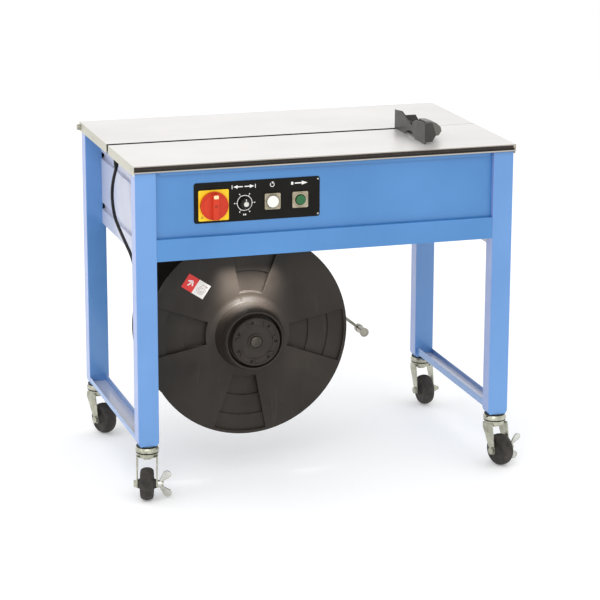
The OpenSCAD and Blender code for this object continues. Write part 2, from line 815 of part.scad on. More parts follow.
module guide_roller() {
    color([0.85, 0.85, 0.83]) difference() {
        rod_y(arm_end_x, arm_end_z, guide_r, arm_y - 39 + face_gap, arm_y - 7 - face_gap);
        rod_y(arm_end_x, arm_end_z, guide_pin_r + run_gap, arm_y - 50, arm_y + 10);
    }
}

// The drive motor on its feet, with a flange against the gearbox
module drive_motor() {
    x1 = head_x - 40;
    yc = box_y + box_d / 2;
    zc = base_top + motor_r + 8;
    fins = 9;
    color([0.3, 0.32, 0.36]) {
        translate([x1 - motor_len, yc, zc]) rotate([0, 90, 0]) cylinder(r = motor_r, h = motor_len - 8);
        translate([x1 - 10, yc, zc]) rotate([0, 90, 0]) cylinder(r = motor_r - 8, h = 10);
        for (i = [0:fins - 1]) {
            translate([x1 - motor_len + 20 + i * 12, yc, zc]) rotate([0, 90, 0])
                cylinder(r = motor_r + 3, h = 3);
        }
        translate([x1 - motor_len + 14, yc - 40, base_top]) cube([motor_len - 40, 80, 16]);
    }
}

module gearbox() {
    color([0.5, 0.52, 0.54]) difference() {
        translate([head_x - 40, box_y, base_top]) cube([80, box_d, 112]);
        rod_y(head_x, cam_z, cam_shaft_r + run_gap, box_y - 1, box_y + 30);
    }
}

// Two cheek plates on a foot, bored for the camshaft and the roller pins
module head_frame() {
    x0 = feed_cx - 30;
    x1 = head_x + 60;
    color([0.6, 0.62, 0.63]) difference() {
        union() {
            for (y = [cheek_front, cheek_back]) {
                translate([x0, y, base_top]) cube([x1 - x0, cheek_t, 142]);
            }
            translate([head_x - 60, cheek_front, base_top]) cube([120, cheek_back - cheek_front, 10]);
            for (x = [head_x - press_w / 2 - 8, head_x + press_w / 2 + face_gap]) {
                translate([x, cheek_front + cheek_t - eps, cam_z + 40])
                    cube([8 - face_gap, 20, 40]);
            }
        }
        rod_y(head_x, cam_z, cam_shaft_r + run_gap, cheek_front - 1, cheek_back + cheek_t + 1);
        rod_y(feed_cx, roller_z, roller_pin_r + run_gap, cheek_front - 1, cheek_back + cheek_t + 1);
        rod_y(feed_cx, pinch_z, roller_pin_r + run_gap, cheek_front - 1, cheek_back + cheek_t + 1);
    }
}

// The camshaft with three cams, whose high sides point down at rest
module camshaft() {
    color([0.7, 0.7, 0.7]) {
        rod_y(head_x, cam_z, cam_shaft_r, cheek_front - 4, box_y + 28);
        for (i = [0:2]) {
            rod_y(head_x, cam_z - cam_lift, cam_r, cheek_front + 14 + i * 20, cheek_front + 26 + i * 20);
        }
    }
}

// The block that lifts to clamp and seal the strap under the slot
module press_head() {
    z0 = cam_z + cam_r + cam_lift + 2;
    z1 = top_z - top_sheet - press_travel - 4;
    color([0.62, 0.6, 0.55]) {
        translate([head_x - press_w / 2, cheek_front + cheek_t + face_gap, z0])
            cube([press_w, cheek_back - cheek_front - cheek_t - 2 * face_gap, 40]);
        translate([head_x - press_w / 2 + 2, slot_front, z0 + 39])
            cube([press_w - 4, slot_w, z1 - z0 - 39]);
    }
}

// A knurled roller on its own pin
module strap_roller(z, r) {
    grooves = 12;
    difference() {
        rod_y(feed_cx, z, r, cheek_front + cheek_t + 16, cheek_back - 8);
        for (i = [0:grooves - 1]) {
            rod_y(feed_cx + (r + 0.6) * cos(i * 30 + 15), z + (r + 0.6) * sin(i * 30 + 15),
                  1.2, cheek_front + cheek_t, cheek_back);
        }
    }
    rod_y(feed_cx, z, roller_pin_r, cheek_front - 3, cheek_back + cheek_t + 3);
}

module feed_roller() {
    color([0.55, 0.55, 0.55]) strap_roller(roller_z, feed_roller_r);
}

module pinch_roller() {
    color([0.5, 0.5, 0.5]) strap_roller(pinch_z, pinch_roller_r);
}

// The control board on its standoffs, with its transformer and relays
module control_board() {
    z1 = base_top + 10;
    color([0.15, 0.4, 0.22]) {
        translate([-330, 40, z1]) cube([200, 130, 2]);
        for (x = [-320, -140], y = [50, 160]) {
            translate([x, y, base_top]) cylinder(r = 4, h = 11);
        }
        translate([-315, 80, z1 + 1]) cube([60, 55, 50]);
        for (i = [0:3]) {
            translate([-235 + i * 24, 60, z1 + 1]) cube([16, 28, 18]);
        }
        translate([-235, 120, z1 + 1]) cube([88, 14, 12]);
    }
}

// The gland under the side panel's shelf, with its tapered strain relief
module cable_gland() {
    z1 = shelf_z;
    color([0.08, 0.08, 0.08]) translate([gland_x, gland_y, 0]) {
        translate([0, 0, z1 - 7]) cylinder(r = 11, h = 7, $fn = 6);
        cylinder_between(7.6, z1 - 1, z1 + sheet);
        translate([0, 0, gland_tip]) cylinder(r1 = cord_r + 0.8, r2 = 7.5, h = z1 - 6 - gland_tip);
    }
}

// A round tube swept along points, each ring square to the path
module tube(points, r, sides) {
    n = len(points);
    rings = [for (i = [0:n - 1])
        let (
            t = unit(points[min(i + 1, n - 1)] - points[max(i - 1, 0)]),
            side = unit(cross(t, [1, 0, 0])),
            up = cross(side, t)
        )
        for (j = [0:sides - 1])
            points[i] + r * (cos(j * 360 / sides) * side + sin(j * 360 / sides) * up)
    ];
    walls = [for (i = [0:n - 2], j = [0:sides - 1]) [
        i * sides + j, i * sides + (j + 1) % sides,
        (i + 1) * sides + (j + 1) % sides, (i + 1) * sides + j
    ]];
    first = [for (j = [sides - 1:-1:0]) j];
    last = [for (j = [0:sides - 1]) (n - 1) * sides + j];
    polyhedron(points = rings, faces = concat([first], walls, [last]));
}

module power_cord() {
    color([0.1, 0.1, 0.11]) tube(cord_points, cord_r, 8);
}

// A flat loop with round ends, which have the radius r
module racetrack(r) {
    end = hank_bend + cord_r;
    for (z = [hank_z0 + end, hank_z1 - end]) translate([0, z]) circle(r = r);
    translate([-r, hank_z0 + end]) square([2 * r, hank_z1 - hank_z0 - 2 * end]);
}

// The outer shape of the folded spare length, with the window that its loops leave
module cord_hank() {
    t = (hank_loops - 1) * hank_pitch + 2 * cord_r;
    color([0.12, 0.12, 0.13]) translate([hank_x - t / 2, hank_y, 0]) rotate([90, 0, 90])
        linear_extrude(t) difference() {
            racetrack(hank_bend + cord_r);
            racetrack(hank_bend - cord_r);
        }
}

// The mains plug, tucked into the window of the hank
module power_plug() {
    color([0.1, 0.1, 0.11]) translate([hank_x, hank_y, plug_z]) {
        rotate_extrude() polygon([
            [0, 0], [6, 0], [9, 14], [plug_r - 2, 24], [plug_r, 30], [plug_r, plug_len], [0, plug_len]
        ]);
        for (y = [-9.5, 9.5]) {
            translate([0, y, plug_len - 1]) cylinder(r = 2.4, h = plug_pin_len + 1);
        }
    }
}

placed() leg(-1, -1);  // leg_front_left
placed() leg(1, -1);  // leg_front_right
placed() leg(-1, 1);  // leg_back_left
placed() leg(1, 1);  // leg_back_right
placed() cross_channel(-1);  // left_cross_channel
placed() cross_channel(1);  // right_cross_channel
placed() rail(-1);  // front_rail
placed() rail(1);  // back_rail
placed() front_panel();
placed() back_panel();
placed() side_panel(-1);  // left_panel
placed() side_panel(1);  // right_panel
placed() base_plate();
placed() front_table_top();
placed() back_table_lid();
placed() front_edge_trim();
placed() strap_track();
placed() parcel_stop();
placed() lid_hinge_pins();
placed() caster_stems();
placed() fork(0);  // fork_front_left
placed() fork(1);  // fork_front_right
placed() fork(2);  // fork_back_left
placed() fork(3);  // fork_back_right
placed() wheel(0);  // wheel_front_left
placed() wheel(1);  // wheel_front_right
placed() wheel(2);  // wheel_back_left
placed() wheel(3);  // wheel_back_right
placed() axle(0);  // axle_front_left
placed() axle(1);  // axle_front_right
placed() axle(2);  // axle_back_left
placed() axle(3);  // axle_back_right
placed() wing_nut(0);  // wing_nut_left
placed() wing_nut(1);  // wing_nut_right
placed() control_plate();
placed() switch_plate();
placed() switch_knob();
placed() dial_knob();
placed() button_bezels();
placed() reset_button();
placed() feed_button();
placed() reel_bracket();
placed() reel_shaft();
placed() rear_flange();
placed() front_flange();
placed() hub_wheel();
placed() brake_arm();
placed() guide_roller();
placed() drive_motor();
placed() gearbox();
placed() head_frame();
placed() camshaft();
placed() press_head();
placed() feed_roller();
placed() pinch_roller();
placed() control_board();
placed() cable_gland();
placed() power_cord();
placed() cord_hank();
placed() power_plug();
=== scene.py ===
"""The looks of a semi automatic strapping machine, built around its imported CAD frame."""

import json
import math

import bmesh
import bpy
from mathutils import Matrix, Vector
from mathutils.geometry import tessellate_polygon

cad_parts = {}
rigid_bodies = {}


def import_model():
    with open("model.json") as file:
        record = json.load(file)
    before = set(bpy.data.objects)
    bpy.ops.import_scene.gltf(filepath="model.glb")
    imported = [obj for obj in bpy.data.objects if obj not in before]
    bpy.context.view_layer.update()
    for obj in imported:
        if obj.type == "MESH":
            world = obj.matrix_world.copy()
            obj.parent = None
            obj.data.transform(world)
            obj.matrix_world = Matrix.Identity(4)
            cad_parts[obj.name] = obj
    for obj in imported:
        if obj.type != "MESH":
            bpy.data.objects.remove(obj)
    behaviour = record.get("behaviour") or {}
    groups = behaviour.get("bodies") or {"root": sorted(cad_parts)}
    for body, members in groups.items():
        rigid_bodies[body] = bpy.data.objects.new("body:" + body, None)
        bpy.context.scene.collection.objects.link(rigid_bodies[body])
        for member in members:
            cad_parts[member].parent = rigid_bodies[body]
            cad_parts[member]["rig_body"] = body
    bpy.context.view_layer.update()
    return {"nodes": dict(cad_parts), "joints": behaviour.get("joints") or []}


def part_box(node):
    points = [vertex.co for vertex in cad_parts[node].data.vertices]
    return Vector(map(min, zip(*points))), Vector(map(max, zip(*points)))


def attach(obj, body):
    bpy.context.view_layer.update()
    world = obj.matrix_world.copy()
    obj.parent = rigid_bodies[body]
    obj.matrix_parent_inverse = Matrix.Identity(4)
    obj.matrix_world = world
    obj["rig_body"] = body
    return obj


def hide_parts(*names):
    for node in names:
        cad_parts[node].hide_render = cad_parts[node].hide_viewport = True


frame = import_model()

MM = 0.001
# The middle of the table in the part's frame
TABLE = Vector((-14, 17, 0)) * MM
# Edges that turn more than this are sharp
SHARP = math.radians(32)
CORNERS = ("front_left", "front_right", "back_left", "back_right")
# A face looks along an axis when its normal reaches this far along it
FACING = 0.9
# How far printed marks stand off a plate
PRINT = 0.2 * MM


# ---------------------------------------------------------------- places

def low(node):
    """The lower corner of a CAD node's box."""
    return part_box(node)[0]


def high(node):
    """The upper corner of a CAD node's box."""
    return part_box(node)[1]


def middle(node):
    """The middle of a CAD node's box."""
    return (low(node) + high(node)) / 2


def joint(name):
    """The pivot and the axis of a joint."""
    found = next(j for j in frame["joints"] if j["name"] == name)
    return Vector(found.get("pos_m", (0, 0, 0))), Vector(found["axis"]).normalized()


def at(x, y, z):
    """A point in millimetres from the middle of the table, at floor level, in the part's frame."""
    return TABLE + Vector((x, y, z)) * MM


def along(origin, axis, side=(0, 0, 1)):
    """A placement at origin whose local Z is axis and whose local Y leans to side."""
    z = Vector(axis).normalized()
    x = Vector(side).cross(z).normalized()
    y = z.cross(x)
    turn = Matrix((x, y, z)).transposed().to_4x4()
    return Matrix.Translation(origin) @ turn


def on_front(x, y, z):
    """A placement whose local X is right, Y is up and Z points to the front."""
    return along((x, y, z), (0, -1, 0))


# ---------------------------------------------------------------- camera

def place_camera():
    """The photograph's view: from the front left and a little above."""
    azimuth, elevation, roll = (math.radians(a) for a in (-17.26, 14.93, 0.15))
    target = Vector((-0.012, -0.036, 0.378))
    distance = 5.75
    back = Vector((
        math.sin(azimuth) * math.cos(elevation),
        -math.cos(azimuth) * math.cos(elevation),
        math.sin(elevation),
    ))
    data = bpy.data.cameras.new("camera")
    data.lens = 145.8
    data.sensor_width = 36
    camera = bpy.data.objects.new("camera", data)
    bpy.context.scene.collection.objects.link(camera)
    camera.matrix_world = along(target + back * distance, back) @ Matrix.Rotation(roll, 4, "Z")
    bpy.context.scene.camera = camera


# ---------------------------------------------------------------- node materials

def linear(colour):
    """An sRGB colour of 0 to 255 as the linear numbers that shaders take."""
    shares = [c / 255 for c in colour]
    return [s / 12.92 if s <= 0.04045 else ((s + 0.055) / 1.055) ** 2.4 for s in shares] + [1]


class Finish:
    """One Principled material with its nodes; constants sit on the shader's own sockets."""

    def __init__(self, name, **sockets):
        self.material = bpy.data.materials.new(name)
        self.material.use_nodes = True
        self.tree = self.material.node_tree
        self.shader = self.tree.nodes["Principled BSDF"]
        for socket, value in sockets.items():
            self.shader.inputs[socket.replace("_", " ")].default_value = value
        self.place = self.node("ShaderNodeTexCoord").outputs["Object"]

    def node(self, kind, **settings):
        made = self.tree.nodes.new(kind)
        for setting, value in settings.items():
            setattr(made, setting, value)
        return made

    def link(self, value, socket):
        if isinstance(value, bpy.types.NodeSocket):
            self.tree.links.new(value, socket)
        else:
            socket.default_value = value

    def stretched(self, scale):
        """Object coordinates, stretched by a factor on each axis."""
        mapping = self.node("ShaderNodeMapping")
        mapping.inputs["Scale"].default_value = scale
        self.link(self.place, mapping.inputs["Vector"])
        return mapping.outputs["Vector"]

    def noise(self, scale, detail=3, where=None, roughness=0.5):
        made = self.node("ShaderNodeTexNoise")
        made.inputs["Scale"].default_value = scale
        made.inputs["Detail"].default_value = detail
        made.inputs["Roughness"].default_value = roughness
        self.link(where or self.place, made.inputs["Vector"])
        return made.outputs["Fac"]

    def cells(self, scale, where=None):
        made = self.node("ShaderNodeTexVoronoi")
        made.inputs["Scale"].default_value = scale
        self.link(where or self.place, made.inputs["Vector"])
        return made.outputs["Distance"]

    def between(self, value, out_low, out_high, in_low=0.3, in_high=0.7):
        """A value from in_low to in_high as one from out_low to out_high."""
        made = self.node("ShaderNodeMapRange")
        self.link(value, made.inputs["Value"])
        ends = {"From Min": in_low, "From Max": in_high, "To Min": out_low, "To Max": out_high}
        for name, number in ends.items():
            made.inputs[name].default_value = number
        return made.outputs["Result"]

    def ramp(self, value, *stops):
        """Colours along a value; each stop is a place and an sRGB colour."""
        made = self.node("ShaderNodeValToRGB")
        elements = made.color_ramp.elements
        while len(elements) < len(stops):
            elements.new(0.5)
        for element, (place, colour) in zip(elements, stops, strict=True):
            element.position = place
            element.color = linear(colour)
        self.link(value, made.inputs["Fac"])
        return made.outputs["Color"]

    def mix(self, share, a, b):
        made = self.node("ShaderNodeMix", data_type="RGBA")
        self.link(share, made.inputs["Factor"])
        self.link(a, made.inputs[6])
        self.link(b, made.inputs[7])
        return made.outputs[2]

    def edges(self, radius, strength=1.0):
        """How near an outer or inner edge a point lies, from 0 on flat faces to 1."""
        bevel = self.node("ShaderNodeBevel", samples=4)
        bevel.inputs["Radius"].default_value = radius
        flat = self.node("ShaderNodeNewGeometry").outputs["Normal"]
        dot = self.node("ShaderNodeVectorMath", operation="DOT_PRODUCT")
        self.link(bevel.outputs["Normal"], dot.inputs[0])
        self.link(flat, dot.inputs[1])
        return self.between(dot.outputs["Value"], strength, 0.0, 0.7, 1.0)

    def bumps(self, *layers):
        """Stacks bump layers; each is a height, a strength and a distance in metres."""
        normal = None
        for height, strength, distance in layers:
            made = self.node("ShaderNodeBump")
            made.inputs["Strength"].default_value = strength
            made.inputs["Distance"].default_value = distance
            self.link(height, made.inputs["Height"])
            if normal is not None:
                self.link(normal, made.inputs["Normal"])
            normal = made.outputs["Normal"]
        self.link(normal, self.shader.inputs["Normal"])

    def colour(self, value):
        self.link(value, self.shader.inputs["Base Color"])

    def rough(self, value):
        self.link(value, self.shader.inputs["Roughness"])


def blue_paint(name, dark, light):
    """Powder coat: orange peel, a slow change of tone, and a painted highlight along the edges."""
    f = Finish(name, Coat_Weight=0.6, Coat_Roughness=0.16, Coat_IOR=1.6)
    tone = f.ramp(f.noise(3.5, 4), (0.35, dark), (0.65, light))
    edge_highlight = f.edges(1.6 * MM, 0.35)
    pale = [min(255, c + 34) for c in light]
    # The edges are mixed towards a paler blue: a painted highlight.
    f.colour(f.mix(edge_highlight, tone, linear(pale)))
    f.rough(f.between(f.noise(40, 4), 0.34, 0.48))
    f.bumps((f.noise(520, 2), 0.10, 0.0006), (f.noise(90, 2), 0.05, 0.002))
    return f.material


def table_steel(name="table_steel", dark=(234, 231, 229), light=(244, 241, 239)):
    """Pale stainless sheet, brushed along the table, with a few faint handling marks."""
    f = Finish(name, Metallic=0.55, Anisotropic=0.35)
    lines = f.noise(1, 5, f.stretched((3, 950, 120)), 0.65)
    cloud = f.noise(4, 4)
    base = f.ramp(cloud, (0.3, dark), (0.7, light))
    streaks = f.mix(f.between(lines, 0.0, 0.16), base, linear((205, 203, 199)))
    marks = f.between(f.noise(1, 6, f.stretched((26, 90, 26)), 0.75), 0.0, 0.10, 0.62, 0.74)
    f.colour(f.mix(marks, streaks, linear((188, 186, 182))))
    f.rough(f.between(lines, 0.30, 0.46))
    f.bumps((lines, 0.05, 0.0002))
    return f.material


def trim_metal():
    """Anodised extrusion with fine lines along its length."""
    f = Finish("edge_trim", Metallic=0.85)
    lines = f.noise(1, 4, f.stretched((4, 900, 900)), 0.6)
    f.colour(f.ramp(lines, (0.3, (150, 144, 134)), (0.7, (205, 200, 191))))
    f.rough(f.between(lines, 0.22, 0.36))
    f.bumps((lines, 0.06, 0.0002))
    return f.material


def dark_insert(name, shade, tone, pale):
    """A dark strip of the front edge, streaked along its length."""
    f = Finish(name, Specular_IOR_Level=0.25)
    lines = f.noise(1, 5, f.stretched((6, 60, 700)), 0.7)
    slow = f.noise(1, 3, f.stretched((5, 5, 60)))
    dark = f.ramp(lines, (0.3, shade), (0.7, tone))
    f.colour(f.mix(f.between(slow, 0.0, 0.5), dark, linear(pale)))
    f.rough(f.between(lines, 0.25, 0.42))
    f.bumps((lines, 0.08, 0.0003))
    return f.material


def machined_steel(name, dark, light):
    """Steel with turning or milling lines and a slow change of tone."""
    f = Finish(name, Metallic=0.85)
    lines = f.noise(1, 4, f.stretched((400, 40, 400)), 0.6)
    f.colour(f.ramp(f.noise(30, 4), (0.3, dark), (0.7, light)))
    f.rough(f.between(lines, 0.28, 0.5))
    f.bumps((lines, 0.06, 0.0003))
    return f.material


def zinc(name="zinc", tint=(198, 197, 180), shade=(152, 151, 134), rough=(0.2, 0.38)):
    """Zinc plate: a faint spangle of cells, blotches and dull spots."""
    f = Finish(name, Metallic=0.9)
    spangle = f.cells(160)
    blotch = f.noise(45, 4)
    base = f.ramp(blotch, (0.3, shade), (0.7, tint))
    f.colour(f.mix(f.between(spangle, 0.25, 0.0, 0.0, 0.6), base, linear((222, 221, 212))))
    f.rough(f.between(f.noise(70, 3), *rough))
    f.bumps((f.noise(260, 3), 0.08, 0.0004))
    return f.material


def chrome():
    """The dull grey plating of the brake arm and its roller."""
    f = Finish("chrome", Metallic=1.0)
    f.colour(f.ramp(f.noise(25, 4), (0.3, (116, 113, 102)), (0.7, (158, 155, 144))))
    f.rough(f.between(f.noise(60, 4), 0.10, 0.26))
    f.bumps((f.noise(180, 2), 0.03, 0.0004))
    return f.material


def tyre_rubber():
    """Dark rubber with floor dust on it."""
    f = Finish("wheel_rubber", Specular_IOR_Level=0.35)
    dust = f.between(f.noise(34, 5, roughness=0.6), 0.0, 0.28, 0.45, 0.75)
    base = f.ramp(f.noise(22, 3), (0.3, (40, 37, 34)), (0.7, (58, 54, 50)))
    f.colour(f.mix(dust, base, linear((112, 105, 97))))
    f.rough(f.between(f.noise(80, 4), 0.55, 0.8))
    f.bumps((f.noise(420, 3), 0.25, 0.0005))
    return f.material


def plastic(name, dark, light, rough=(0.4, 0.55), grain=0.12, scale=700, **sockets):
    """Moulded plastic with a fine grain, tone changes and softly lit edges."""
    f = Finish(name, **sockets)
    tone = f.ramp(f.noise(14, 4), (0.35, dark), (0.65, light))
    rim = [min(255, int(c * 1.12 + 14)) for c in light]
    f.colour(f.mix(f.edges(0.8 * MM, 0.4), tone, linear(rim)))
    f.rough(f.between(f.noise(60, 4), *rough))
    f.bumps((f.noise(scale, 2), grain, 0.0004))
    return f.material


def reel_plastic():
    """Warm black moulded sheet with scuffs, a fine stipple and a painted highlight on its edges.
    """
    f = Finish("reel_black", Specular_IOR_Level=0.28)
    tone = f.ramp(f.noise(7, 5), (0.3, (32, 27, 23)), (0.7, (50, 44, 38)))
    scuffs = f.between(f.noise(1, 6, f.stretched((60, 60, 9)), 0.7), 0.0, 0.3, 0.58, 0.78)
    marked = f.mix(scuffs, tone, linear((80, 73, 66)))
    # The edges are mixed towards a paler brown: a painted highlight.
    f.colour(f.mix(f.edges(1.0 * MM, 0.5), marked, linear((90, 83, 76))))
    f.rough(f.between(f.noise(26, 5), 0.36, 0.54))
    f.bumps((f.noise(650, 2), 0.14, 0.0004), (f.noise(9, 2), 0.12, 0.004))
    return f.material


def circuit_board():
    """Green coated board with a mesh of paler tracks."""
    f = Finish("board_green", Coat_Weight=0.4, Coat_Roughness=0.2)
    tracks = f.between(f.cells(140), 0.0, 1.0, 0.42, 0.5)
    base = f.ramp(f.noise(30, 4), (0.3, (20, 70, 42)), (0.7, (30, 92, 56)))
    f.colour(f.mix(tracks, base, linear((88, 138, 92))))
    f.rough(f.between(f.noise(90, 3), 0.3, 0.45))
    f.bumps((tracks, 0.2, 0.0002))
    return f.material


def make_finishes():
    """Every finish by the short name that pieces use."""
    # Lit and shaded copies of one blue paint: the front tone is darker with painted shade under
    # the table, the panel and leg side tones are paler with painted light on faces that look left
    # or up.
    blues = {
        "blue_front_painted_shade": ((50, 121, 184), (62, 131, 195)),
        "blue_leg": ((86, 138, 199), (97, 149, 210)),
        "blue_leg_side_painted_light": ((124, 148, 205), (134, 158, 214)),
        "blue_side": ((100, 142, 200), (110, 152, 208)),
        "blue_panel_painted_light": ((184, 188, 207), (194, 198, 216)),
    }
    made = {name: blue_paint(name, *tones) for name, tones in blues.items()}
    made.update({
        "table": table_steel(),
        # A darker copy of the table steel for faces that look left: painted shade.
        "rim": table_steel("rim_steel_painted_shade", (189, 187, 171), (201, 199, 185)),
        "trim": trim_metal(),
        "insert": dark_insert("edge_insert", (20, 16, 13), (50, 43, 37), (66, 58, 51)),
        "insert_dark": dark_insert("edge_insert_dark", (14, 11, 9), (34, 29, 25),
                                   (44, 38, 33)),
        "steel": machined_steel("track_steel", (112, 110, 106), (150, 149, 146)),
        "dark_steel": machined_steel("dark_steel", (58, 54, 49), (84, 79, 72)),
        # A near black steel for the lid's wall inside the strap slot: painted shade.
        "slot_painted_shade": machined_steel("slot_painted_shade", (32, 27, 22), (50, 44, 37)),
        "zinc": zinc(),
        "bright": zinc("bright_zinc", (214, 214, 208), (176, 176, 168), (0.16, 0.30)),
        "chrome": chrome(),
        "rubber": tyre_rubber(),
        "reel": reel_plastic(),
        "board": circuit_board(),
        "stop": plastic("stop_black", (44, 42, 39), (60, 57, 53), (0.3, 0.42), 0.06),
        "stop_grey": plastic("stop_grey", (92, 90, 85), (112, 109, 103), (0.3, 0.42), 0.06),
        "pale": plastic("pale_marker", (240, 205, 150), (250, 222, 176), (0.3, 0.4), 0.03),
        "ink": plastic("sticker_ink", (150, 120, 118), (170, 142, 138), (0.4, 0.5), 0.02),
        "plate": plastic("panel_black", (13, 12, 9), (20, 19, 15), (0.42, 0.56), 0.2, 900,
                         Specular_IOR_Level=0.16),
        "yellow": plastic("switch_yellow", (246, 196, 24), (253, 208, 38), (0.26, 0.38), 0.03,
                          Specular_IOR_Level=0.3),
        "red": plastic("switch_red", (192, 44, 20), (206, 57, 28), (0.26, 0.38), 0.03,
                       Specular_IOR_Level=0.3),
        "knob": plastic("knob_black", (12, 11, 10), (22, 20, 18), (0.34, 0.48), 0.1,
                        Specular_IOR_Level=0.3),
        "bezel": zinc("bezel_metal", (182, 172, 150), (150, 140, 118), (0.30, 0.45)),
        "white_lens": plastic("lens_white", (232, 231, 222), (244, 243, 236), (0.2, 0.3), 0.02),
        "green_lens": plastic("lens_green", (24, 96, 50), (36, 122, 66), (0.18, 0.3), 0.03),
        "marks": plastic("print_white", (226, 226, 222), (240, 240, 236), (0.5, 0.6), 0.05),
        "motor": plastic("motor_grey", (66, 70, 76), (84, 88, 95), (0.4, 0.55), 0.2, 500),
        "cord": plastic("cord_black", (11, 11, 12), (21, 21, 22), (0.42, 0.58), 0.1,
                        Specular_IOR_Level=0.3),
        "sticker_red": plastic("sticker_red", (205, 36, 34), (220, 52, 46), (0.4, 0.5), 0.02),
        "sticker_white": plastic("sticker_white", (226, 222, 216), (238, 235, 230), (0.4, 0.5),
                                 0.02),
    })
    return made


# ---------------------------------------------------------------- shapes

class Shape:
    """A mesh put together from turned and extruded parts."""

    def __init__(self):
        self.bm = bmesh.new()

    def face(self, corners):
        self.bm.faces.new(corners)

    def turned(self, profile, place, steps=40, start=0.0, sweep=360.0):
        """Turns a profile of (radius, height) about the placement's Z."""
        whole = sweep >= 360
        angles = [math.radians(start + sweep * i / steps) for i in range(steps + (not whole))]
        rings = []
        for radius, height in profile:
            if radius < 1e-7:
                rings.append([self.bm.verts.new(place @ Vector((0, 0, height)))])
                continue
            rings.append([
                self.bm.verts.new(
                    place @ Vector((radius * math.cos(a), radius * math.sin(a), height))
                )
                for a in angles
            ])
        for lower, upper in zip(rings, rings[1:]):
            count = len(angles) if whole else len(angles) - 1
            for i in range(count):
                j = (i + 1) % len(angles)
                if len(lower) == 1 and len(upper) == 1:
                    break
                if len(lower) == 1:
                    self.face([lower[0], upper[j], upper[i]])
                elif len(upper) == 1:
                    self.face([lower[i], lower[j], upper[0]])
                else:
                    self.face([lower[i], lower[j], upper[j], upper[i]])
        return self

    def prism(self, outline, height, place, base=0.0):
        """Extrudes a flat outline from base to base + height along the placement's Z."""
        rings = [
            [self.bm.verts.new(place @ Vector((x, y, z))) for x, y in outline]
            for z in (base, base + height)
        ]
        count = len(outline)
        for i in range(count):
            j = (i + 1) % count
            self.face([rings[0][i], rings[0][j], rings[1][j], rings[1][i]])
        self.face(rings[0][::-1])
        self.face(rings[1])
        return self

    def mesh(self, name):
        bmesh.ops.recalc_face_normals(self.bm, faces=self.bm.faces)
        made = bpy.data.meshes.new(name)
        self.bm.to_mesh(made)
        self.bm.free()
        return made


def rounded_outline(width, height, radius, steps=6):
    """The outline of a rectangle with round corners, anticlockwise about its middle."""
    points = []
    for k, (sx, sy) in enumerate(((1, 1), (-1, 1), (-1, -1), (1, -1))):
        for i in range(steps + 1):
            a = math.radians(90 * k + 90 * i / steps)
            points.append((
                sx * (width / 2 - radius) + radius * math.cos(a),
                sy * (height / 2 - radius) + radius * math.sin(a),
            ))
    return points


def smooth(mesh):
    """Shades a mesh smooth, except across its sharp edges."""
    mesh.shade_smooth()
    mesh.set_sharp_from_angle(angle=SHARP)


def round_edges(obj, width):
    """Rounds the sharp edges of a piece and keeps its flat faces flat."""
    bevel = obj.modifiers.new("round_edges", "BEVEL")
    bevel.width = width
    bevel.segments = 2
    bevel.limit_method = "ANGLE"
    bevel.angle_limit = SHARP
    bevel.use_clamp_overlap = False
    weighted = obj.modifiers.new("flat_faces", "WEIGHTED_NORMAL")
    weighted.keep_sharp = True
    weighted.weight = 80


def piece(name, mesh, body, finish, stands_for=(), bevel=0.0):
    """Adds a mesh as a visible piece that rides on a body."""
    obj = bpy.data.objects.new(name, mesh)
    bpy.context.scene.collection.objects.link(obj)
    mesh.materials.append(FINISHES[finish])
    if bevel:
        mesh.shade_smooth()
        round_edges(obj, bevel)
    else:
        smooth(mesh)
    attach(obj, body)
    if stands_for:
        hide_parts(*stands_for)
    return obj


def softened(node, finish, width, *others):
    """Stands for a CAD node with a copy that has rounded edges and clean faces.

    Each of others is a finish and a test of a face's centre and normal.
    """
    source = frame["nodes"][node]
    mesh = bpy.data.meshes.new(node + "_shell")
    mesh.from_pydata(
        [v.co for v in source.data.vertices], [], [p.vertices[:] for p in source.data.polygons]
    )
    bm = bmesh.new()
    bm.from_mesh(mesh)
    bmesh.ops.remove_doubles(bm, verts=bm.verts, dist=2e-6)
    bmesh.ops.dissolve_degenerate(bm, edges=bm.edges, dist=2e-6)
    bmesh.ops.dissolve_limit(bm, angle_limit=math.radians(0.4), verts=bm.verts, edges=bm.edges)
    bmesh.ops.recalc_face_normals(bm, faces=bm.faces)
    bm.to_mesh(mesh)
    bm.free()
    made = piece(node + "_shell", mesh, source["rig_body"], finish, [node], width)
    for index, (other, where) in enumerate(others, 1):
        mesh.materials.append(FINISHES[other])
        for face in mesh.polygons:
            if where(face.center, face.normal):
                face.material_index = index
    return made


def block(shape, lo, hi):
    """Adds a box between two corners to a shape."""
    outline = [(lo[0], lo[1]), (hi[0], lo[1]), (hi[0], hi[1]), (lo[0], hi[1])]
    return shape.prism(outline, hi[2] - lo[2], Matrix.Identity(4), lo[2])


def screw(shape, place, radius, height):
    """A pan head with a socket, standing on the placement's plane."""
    return shape.turned([
        (radius, 0), (radius, 0.35 * height), (0.78 * radius, height),
        (0.45 * radius, height), (0.4 * radius, 0.45 * height), (0, 0.45 * height),
    ], place, 24)


def ring(shape, place, inner, outer, height, start=0.0, sweep=360.0, steps=48):
    """A flat raised ring, or a part of one."""
    profile = [(inner, 0), (inner, height), (outer, height), (outer, 0), (inner, 0)]
    return shape.turned(profile, place, steps, start, sweep)


# ---------------------------------------------------------------- the mains lead

